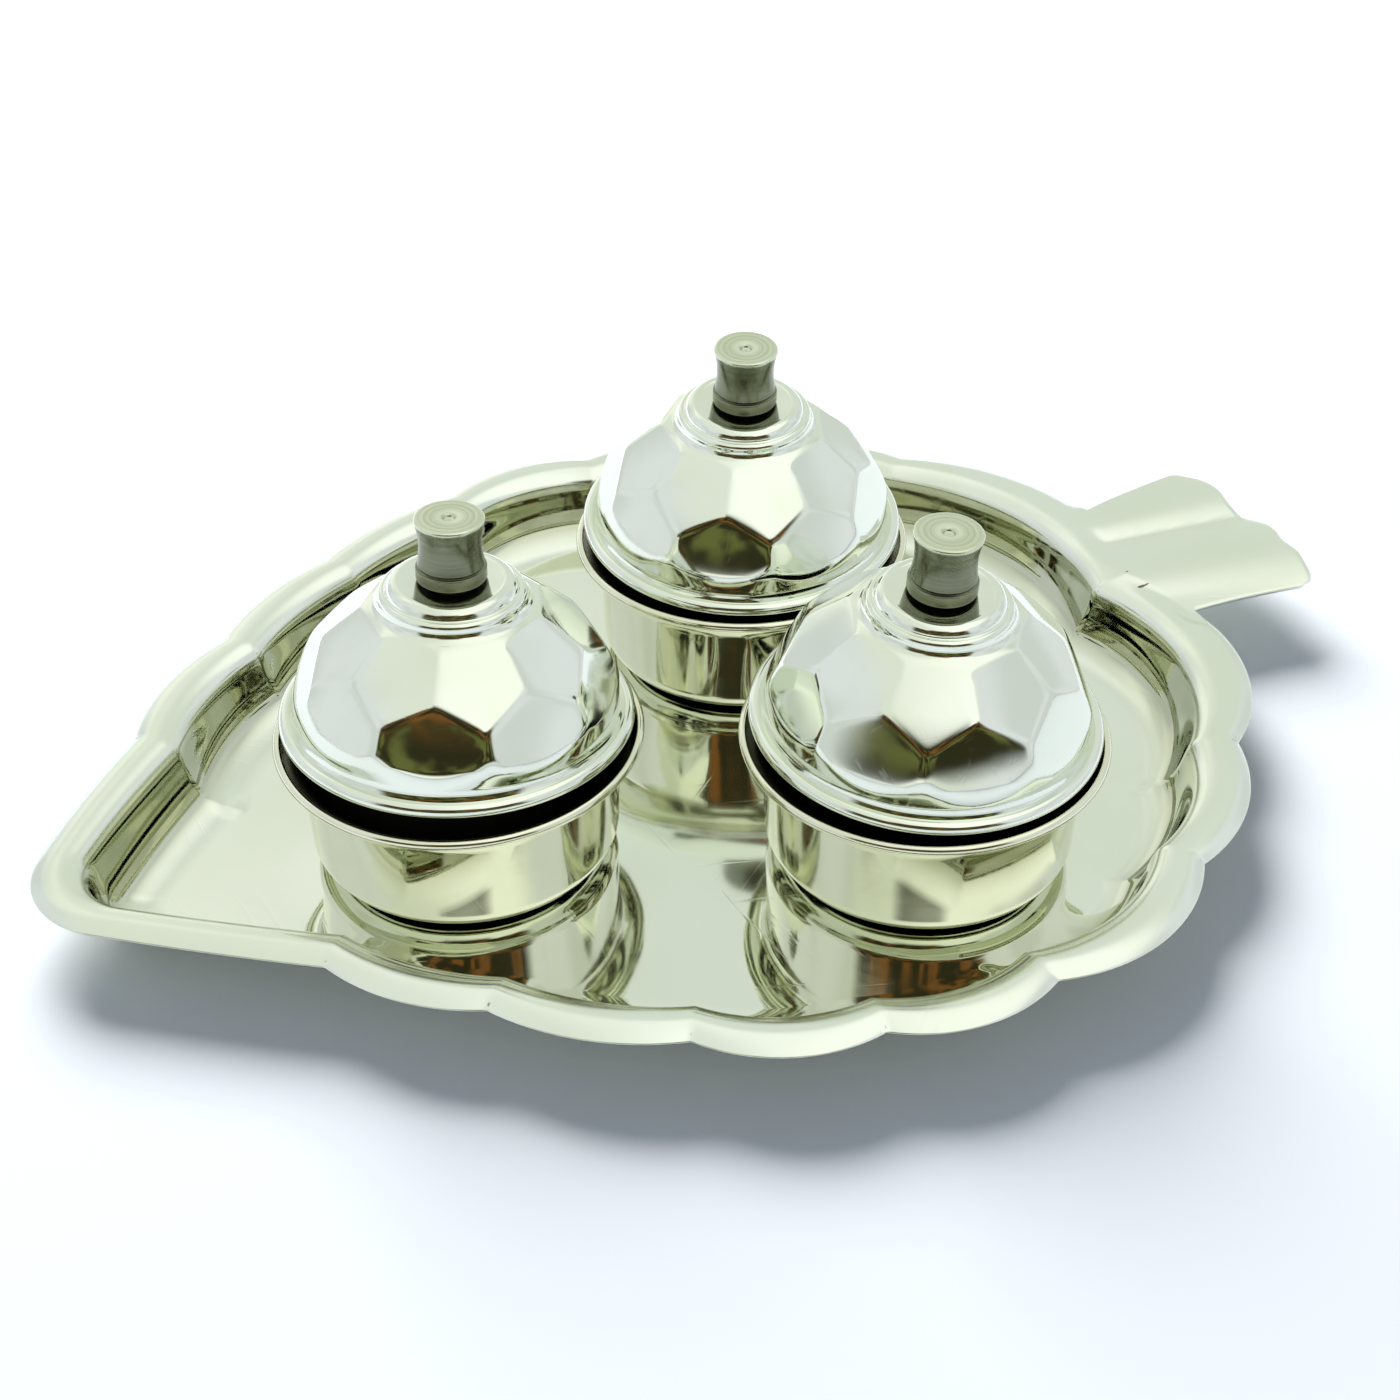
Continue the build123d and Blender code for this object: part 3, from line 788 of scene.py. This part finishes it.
def feed(tree, socket, value):
    """Give a socket the output of another node, a plain colour or a plain value."""
    if isinstance(value, bpy.types.NodeSocket):
        tree.links.new(value, socket)
    elif socket.type == "RGBA" and len(value) == 3:
        socket.default_value = (*value, 1.0)
    else:
        socket.default_value = value


def node(tree, kind, *values, **named):
    """Add a node; values go to its first inputs, named ones to its settings or its inputs."""
    new = tree.nodes.new(kind if kind.startswith("NodeGroup") else "ShaderNode" + kind)
    for name, value in named.items():
        if hasattr(new, name):
            setattr(new, name, value)
        else:
            feed(tree, new.inputs[name.replace("_", " ")], value)
    for socket, value in zip(new.inputs, values):
        feed(tree, socket, value)
    return new


def maths(tree, operation, *values, use_clamp=False):
    return node(tree, "Math", *values, operation=operation, use_clamp=use_clamp).outputs["Value"]


def vector_maths(tree, operation, *values):
    new = node(tree, "VectorMath", *values, operation=operation)
    return new.outputs["Value" if operation in ("DOT_PRODUCT", "LENGTH") else "Vector"]


def product(tree, first, *others):
    for other in others:
        first = maths(tree, "MULTIPLY", first, other)
    return first


def noise(tree, place, **values):
    return node(tree, "TexNoise", Vector=place, **values).outputs["Fac"]


def step_between(tree, value, low, high, kind="SMOOTHSTEP"):
    """Mask that goes from 0 at low to 1 at high."""
    return node(tree, "MapRange", value, low, high, interpolation_type=kind).outputs["Result"]


def between(tree, value, low, high, soft):
    """Mask that is 1 where a value lies between two limits."""
    return product(tree, step_between(tree, value, low - soft, low, "LINEAR"),
                   step_between(tree, value, high + soft, high, "LINEAR"))


def mixed(tree, share, first, second, blend_type="MIX"):
    mix = node(tree, "Mix", share, data_type="RGBA", blend_type=blend_type)
    feed(tree, mix.inputs[6], first)
    feed(tree, mix.inputs[7], second)
    return mix.outputs[2]


def effect(tree, name, fill, **values):
    """Add a node group that is built once; fill gives its outputs, values are its inputs here."""
    if name not in bpy.data.node_groups:
        inner = bpy.data.node_groups.new(name, "ShaderNodeTree")

        def add_sockets(labels, way):
            for label in labels:
                plain = "Vector" if label in ("Position", "Lathe") else "Float"
                kind = "NodeSocket" + ("Color" if "Colour" in label else plain)
                inner.interface.new_socket(label.replace("_", " "), in_out=way, socket_type=kind)

        add_sockets(values, "INPUT")
        made = fill(inner, node(inner, "NodeGroupInput").outputs)
        add_sockets(made, "OUTPUT")
        end = node(inner, "NodeGroupOutput")
        for label, value in made.items():
            feed(inner, end.inputs[label], value)
    return node(tree, "Group", node_tree=bpy.data.node_groups[name], **values).outputs


def rubbing_marks(tree, given):
    """Thin crossing lines from stretched noise."""
    total = None
    for angle, stretch in ((0.35, 0.035), (1.5, 0.05), (2.5, 0.03)):
        turned = node(tree, "VectorRotate", rotation_type="Z_AXIS",
                      Vector=given["Position"], Angle=angle)
        flat = vector_maths(tree, "MULTIPLY", turned.outputs["Vector"], (stretch, 1.0, 0.35))
        grain = noise(tree, flat, Scale=given["Fineness"], Detail=2.0, Roughness=0.6)
        line = step_between(tree, grain, 0.64, 0.74)
        total = line if total is None else maths(tree, "MAXIMUM", total, line)
    mask = product(tree, total, given["Amount"])
    return {"Mask": mask, "Height": product(tree, mask, -1.0)}


def wiping_haze(tree, given):
    """Slow changes of gloss and tint over a polished sheet, as wiping leaves them."""
    cloud = noise(tree, given["Position"], Scale=given["Scale"], Detail=3.0, Roughness=0.55)
    share = step_between(tree, cloud, 0.38, 0.68)
    return {"Colour": mixed(tree, share, given["Bright Colour"], given["Dull Colour"]),
            "Roughness": maths(tree, "MULTIPLY_ADD", share, given["Haze"], given["Gloss"]), "Swell": cloud}


def turning_lines(tree, given):
    """Lines round the axis, read from the distance and height kept on each point."""
    lines = noise(tree, given["Lathe"], Scale=given["Fineness"], Detail=4.0, Roughness=0.65)
    return {"Height": lines, "Mask": step_between(tree, lines, 0.35, 0.65, "LINEAR")}


def new_material(name):
    """A material with its node tree and its shader."""
    material = bpy.data.materials.new(name)
    material.use_nodes = True
    return material, material.node_tree, material.node_tree.nodes["Principled BSDF"]


def steel(name, tone, detail, gloss, haze, cloud, fineness, rubbing):
    """Polished steel; the detail function joins its haze and marks to the shader."""
    material, tree, shader = new_material(name)
    shader.inputs["Metallic"].default_value = 1.0
    shader.inputs["IOR"].default_value = 1.5
    place = node(tree, "TexCoord").outputs["Object"]
    dull = (tone[0] * 0.96, tone[1] * 0.965, tone[2] * 0.93)
    film = effect(tree, "Wiping haze", wiping_haze, Position=place, Bright_Colour=tone,
                  Dull_Colour=dull, Gloss=gloss, Haze=haze, Scale=cloud)
    marks = effect(tree, "Rubbing marks", rubbing_marks, Position=place, Fineness=fineness,
                   Amount=rubbing)
    detail(tree, shader, place, film, marks)
    return material


def lathe_marks(tree, fineness):
    """Distance from the axis and height of a turned piece, and its turning lines."""
    lathe = node(tree, "Attribute", attribute_name="lathe").outputs["Vector"]
    lines = effect(tree, "Turning lines", turning_lines, Lathe=lathe, Fineness=fineness)
    return lathe, lines


def add_rough(tree, rough, mask, share):
    """Marked places are rougher than the rest."""
    return maths(tree, "MULTIPLY_ADD", mask, share, rough)


def bumped(tree, shader, height, strength, distance, before=None):
    bump = node(tree, "Bump", Strength=strength, Distance=distance, Height=height)
    if before:
        feed(tree, bump.inputs["Normal"], before)
    feed(tree, shader.inputs["Normal"], bump.outputs["Normal"])
    return bump.outputs["Normal"]


def coat(tree, shader, tone, rough):
    feed(tree, shader.inputs["Base Color"], tone)
    feed(tree, shader.inputs["Roughness"], rough)


def tray_marks(tree, shader, place, haze, marks):
    """The rim and stem are rubbed duller than the mirror floor; painted shade darkens the well's wall, the
    crimps at the notches and the crease at the stem's root.
    """
    height = node(tree, "SeparateXYZ", place).outputs["Z"]
    rough = add_rough(tree, haze["Roughness"], step_between(tree, height, 0.0085, 0.0108), 0.13)
    rough = add_rough(tree, rough, marks["Mask"], 0.10)
    grain = noise(tree, place, Scale=900.0, Detail=2.0)
    crimp = node(tree, "Attribute", attribute_name="crimp").outputs["Fac"]
    # Painted shade in the crimps at the notches, broken up by noise
    notch_shade = step_between(tree, product(tree, crimp, grain), 0.40, 0.60)
    # Painted shade in the crease at the root of the stem
    away = vector_maths(tree, "MULTIPLY", vector_maths(tree, "SUBTRACT", place, STEM_MARK), STEM_MARK_SCALE)
    edge = maths(tree, "ADD", vector_maths(tree, "LENGTH", away), grain)
    dark = maths(tree, "MAXIMUM", notch_shade, step_between(tree, edge, 1.35, 1.0))
    # Painted shade: the well's wall is darker than the rim and the floor
    wall = between(tree, height, 0.0026, 0.0088, 0.0016)
    tone = mixed(tree, wall, haze["Colour"], (0.66, 0.66, 0.56), "MULTIPLY")
    # Paint the shade of the crimps and of the stem's root into the colour
    coat(tree, shader, mixed(tree, dark, tone, (0.16, 0.15, 0.11)), rough)
    wave = bumped(tree, shader, haze["Swell"], 0.3, 0.0003)
    bumped(tree, shader, marks["Height"], 0.25, 0.00002, wave)


def paint_gap_shade(tree, shader, base, rough, radii, heights):
    """Painted shade in a narrow gap, found from the distance from the axis and the height."""
    lathe = node(tree, "Attribute", attribute_name="lathe").outputs["Vector"]
    apart = node(tree, "SeparateXYZ", lathe).outputs
    mask = product(tree, between(tree, apart["X"], *radii), between(tree, apart["Z"], *heights))
    # Paint the gap's shade into the colour and make it rougher there
    tone = mixed(tree, mask, base, settings().finish.gap_shade_colour)
    coat(tree, shader, tone, add_rough(tree, rough, mask, 0.35))


def cup_marks(tree, shader, place, haze, marks):
    """Spun wall: fine turning lines over a slow wave."""
    turning = lathe_marks(tree, 1500.0)[1]
    rough = add_rough(tree, haze["Roughness"], turning["Mask"], 0.03)
    coat(tree, shader, haze["Colour"], add_rough(tree, rough, marks["Mask"], 0.08))
    wave = bumped(tree, shader, haze["Swell"], 0.2, 0.0002)
    bumped(tree, shader, turning["Height"], 0.15, 0.00001, wave)


def lid_marks(tree, shader, place, haze, marks):
    """Polished dome; the skirt under the bead is darkened with painted shade."""
    rough = add_rough(tree, haze["Roughness"], marks["Mask"], 0.09)
    # Painted shade on the skirt below the bead, inside the cup's mouth
    paint_gap_shade(tree, shader, haze["Colour"], rough, (0.0, 0.0247, 0.0004), (-0.009, -0.00085, 0.0002))
    wave = bumped(tree, shader, haze["Swell"], 0.2, 0.0002)
    bumped(tree, shader, marks["Height"], 0.2, 0.00001, wave)


def knob_marks(tree, shader, place, haze, marks):
    """Turned bar: its side painted darker than its top as painted shade, a few broad rings, and painted shade
    on the neck.
    """
    lathe, turning = lathe_marks(tree, 900.0)
    height = node(tree, "SeparateXYZ", lathe).outputs["Z"]
    # Painted shade: the side between the base ring and the top is darker than the polished top
    side = between(tree, height, 0.0215, 0.0312, 0.0003)
    tone = mixed(tree, side, haze["Colour"], (0.27, 0.27, 0.23), "MULTIPLY")
    tone = mixed(tree, turning["Mask"], tone, (0.66, 0.65, 0.58), "MULTIPLY")
    rough = add_rough(tree, haze["Roughness"], turning["Mask"], 0.06)
    # Painted shade on the neck and under the base ring
    paint_gap_shade(tree, shader, tone, rough, (0.0, 0.0047, 0.0002), (0.0215, 0.02252, 0.00006))
    rings = bumped(tree, shader, turning["Height"], 0.25, 0.00004)
    bumped(tree, shader, marks["Height"], 0.2, 0.00001, rings)


def fastener_marks(tree, shader, place, haze, marks):
    """Plain bright steel of small parts."""
    coat(tree, shader, haze["Colour"], add_rough(tree, haze["Roughness"], marks["Mask"], 0.1))
    bumped(tree, shader, marks["Height"], 0.3, 0.00002)


# Stage

def floor_material(look):
    """White floor that keeps the object's shadow; the camera and reflections see a little glow."""
    material, tree, shader = new_material("studio_floor")
    for name, value in (("Base Color", look.floor_colour), ("Roughness", 0.9), ("Specular IOR Level", 0.0)):
        feed(tree, shader.inputs[name], value)
    rays = node(tree, "LightPath").outputs
    seen = maths(tree, "ADD", rays["Is Camera Ray"], rays["Is Glossy Ray"], use_clamp=True)
    seen = maths(tree, "ADD", seen, rays["Is Transmission Ray"], use_clamp=True)
    glow = node(tree, "Emission", Color=(1.0, 1.0, 1.0), Strength=product(tree, seen, FLOOR_GLOW))
    total = node(tree, "AddShader", shader.outputs["BSDF"], glow.outputs["Emission"])
    feed(tree, tree.nodes["Material Output"].inputs["Surface"], total.outputs["Shader"])
    return material


def tent(world, look, toward):
    """Pale tent with a large soft window overhead and a dark opening low on the viewer's side."""
    world.use_nodes = True
    tree = world.node_tree
    way = node(tree, "TexCoord").outputs["Generated"]

    def part(direction, of=way):
        return vector_maths(tree, "DOT_PRODUCT", of, direction)

    def zone(value, ends):
        return step_between(tree, value, *ends)

    left, height = part((toward[1], -toward[0], 0.0)), part((0.0, 0.0, 1.0))
    sides = maths(tree, "ABSOLUTE", left)
    level = vector_maths(tree, "MULTIPLY", way, (1.0, 1.0, 0.0))
    facing = part(toward, vector_maths(tree, "NORMALIZE", level))
    room = mixed(tree, zone(left, LEFT_EDGE), look.room_colour, LEFT_COLOUR)
    room = mixed(tree, zone(sides, SIDE_EDGE), room, look.side_colour)
    folds = zone(noise(tree, way, Scale=2.6, Detail=1.0), (0.42, 0.60))
    room = mixed(tree, product(tree, folds, FOLD_STRENGTH), room, look.fold_colour)
    slant, rise = WINDOW_AIM
    window = part((toward[0] * slant, toward[1] * slant, rise))
    above = maths(tree, "MAXIMUM", zone(window, WINDOW_EDGE), zone(height, TOP_EDGE))
    glass = mixed(tree, zone(left, WINDOW_FADE), WINDOW_COLOUR, look.window_colour)
    room = mixed(tree, above, room, glass)
    streaks = zone(noise(tree, way, Scale=6.0, Detail=1.5), (0.60, 0.46))
    band = product(tree, zone(height, BAND_FOOT), zone(height, BAND_TOP), zone(sides, BAND_SIDES),
                   zone(facing, BAND_REAR), streaks)
    room = mixed(tree, band, room, look.band_colour)
    viewer = product(tree, zone(facing, VIEWER_SIDES), zone(height, VIEWER_TOP), zone(height, VIEWER_FOOT))
    room = mixed(tree, viewer, room, look.shade_colour)
    things = noise(tree, way, Scale=8.5, Detail=2.0, Roughness=0.5)
    leaves = product(tree, zone(things, (0.46, 0.58)), zone(height, LEAVES_FOOT), zone(height, LEAVES_TOP))
    inside = mixed(tree, leaves, look.dark_colour, look.green_colour)
    wood = product(tree, zone(things, (0.52, 0.40)), zone(height, WOOD_FOOT))
    inside = mixed(tree, wood, inside, look.warm_colour)
    opening = product(tree, zone(facing, OPENING_SIDES), zone(height, OPENING_TOP),
                      zone(height, OPENING_FOOT))
    room = mixed(tree, opening, room, inside)
    rays = node(tree, "LightPath").outputs
    room = mixed(tree, rays["Is Diffuse Ray"], room, look.fill_colour)
    room = mixed(tree, rays["Is Camera Ray"], room, (1.0, 1.0, 1.0))
    back = tree.nodes["Background"].inputs
    feed(tree, back["Color"], room)
    feed(tree, back["Strength"], 1.0)


def soft_lamp(name, place, size, power):
    """Round lamp that points at the object and is not seen in its reflections."""
    lamp = bpy.data.lights.new(name, "AREA")
    put(lamp, shape="DISK", size=size, energy=power)
    holder = add_object(name, lamp)
    holder.visible_glossy = False
    turn = (-Vector(place)).to_track_quat("-Z", "Y").to_matrix().to_4x4()
    holder.matrix_world = Matrix.Translation(place) @ turn


class HOLDER_OT_stage(bpy.types.Operator):
    """Set the white floor, the pale tent, the soft lamp and the camera"""
    bl_idname = "holder.set_stage"
    bl_label = "Stage"

    def execute(self, context):
        look = settings().stage
        scene = context.scene
        bm = bmesh.new()
        bmesh.ops.create_circle(bm, cap_ends=True, segments=96, radius=3.0)
        mesh_object(bm, "studio_floor", floor_material(look))

        yaw, pitch, roll = radians(EYE_YAW), radians(EYE_PITCH), radians(EYE_ROLL)
        ahead = Vector((cos(yaw) * cos(pitch), sin(yaw) * cos(pitch), -sin(pitch)))
        flat_right = Vector((sin(yaw), -cos(yaw), 0.0))
        flat_up = flat_right.cross(ahead)
        right = cos(roll) * flat_right + sin(roll) * flat_up
        up = cos(roll) * flat_up - sin(roll) * flat_right
        eye = bpy.data.cameras.new("camera")
        put(eye, sensor_width=36.0, lens=EYE_FOCAL / FRAME_WIDTH * 36.0, clip_start=0.01)
        camera = add_object("camera", eye)
        turn = Matrix((right, up, -ahead)).transposed().to_4x4()
        camera.matrix_world = Matrix.Translation(EYE_PLACE) @ turn
        scene.camera = camera

        world = scene.world or bpy.data.worlds.new("tent")
        scene.world = world
        tent(world, look, (-cos(yaw), -sin(yaw), 0.0))
        soft_lamp("lamp_rear", LAMP_PLACE, LAMP_SIZE, LAMP_POWER)
        scene.view_settings.view_transform = "Standard"
        return {"FINISHED"}


class HOLDER_PT_panel(bpy.types.Panel):
    """Steps that build the leaf tray set, with its sizes and colours"""
    bl_idname = "HOLDER_PT_panel"
    bl_label = "Leaf tray with cups"
    bl_space_type = "VIEW_3D"
    bl_region_type = "UI"
    bl_category = "Holder"

    def draw(self, context):
        column = self.layout.column()
        for operator in OPERATORS:
            column.operator(operator.bl_idname)
        for part in ("tray", "cup", "lid", "knob", "finish", "stage"):
            box = column.box()
            box.label(text=part.capitalize())
            group = getattr(settings(), part)
            for name in group.__annotations__:
                box.prop(group, name)


GROUPS = (TraySizes, CupSizes, LidSizes, KnobSizes, SteelFinish, StageLook, HolderSettings)
OPERATORS = (HOLDER_OT_tray, HOLDER_OT_cups, HOLDER_OT_lids, HOLDER_OT_knobs,
             HOLDER_OT_fasteners, HOLDER_OT_stage)
CLASSES = (*GROUPS, *OPERATORS, HOLDER_PT_panel)


def register():
    for item in CLASSES:
        bpy.utils.register_class(item)
    bpy.types.Scene.leaf_holder = PointerProperty(type=HolderSettings)


def unregister():
    del bpy.types.Scene.leaf_holder
    for item in reversed(CLASSES):
        bpy.utils.unregister_class(item)


def main():
    register()
    bpy.ops.holder.make_tray()
    bpy.ops.holder.make_cups()
    bpy.ops.holder.make_lids()
    bpy.ops.holder.make_knobs()
    bpy.ops.holder.finish_fasteners()
    bpy.ops.holder.set_stage()


if __name__ == "__main__":
    main()
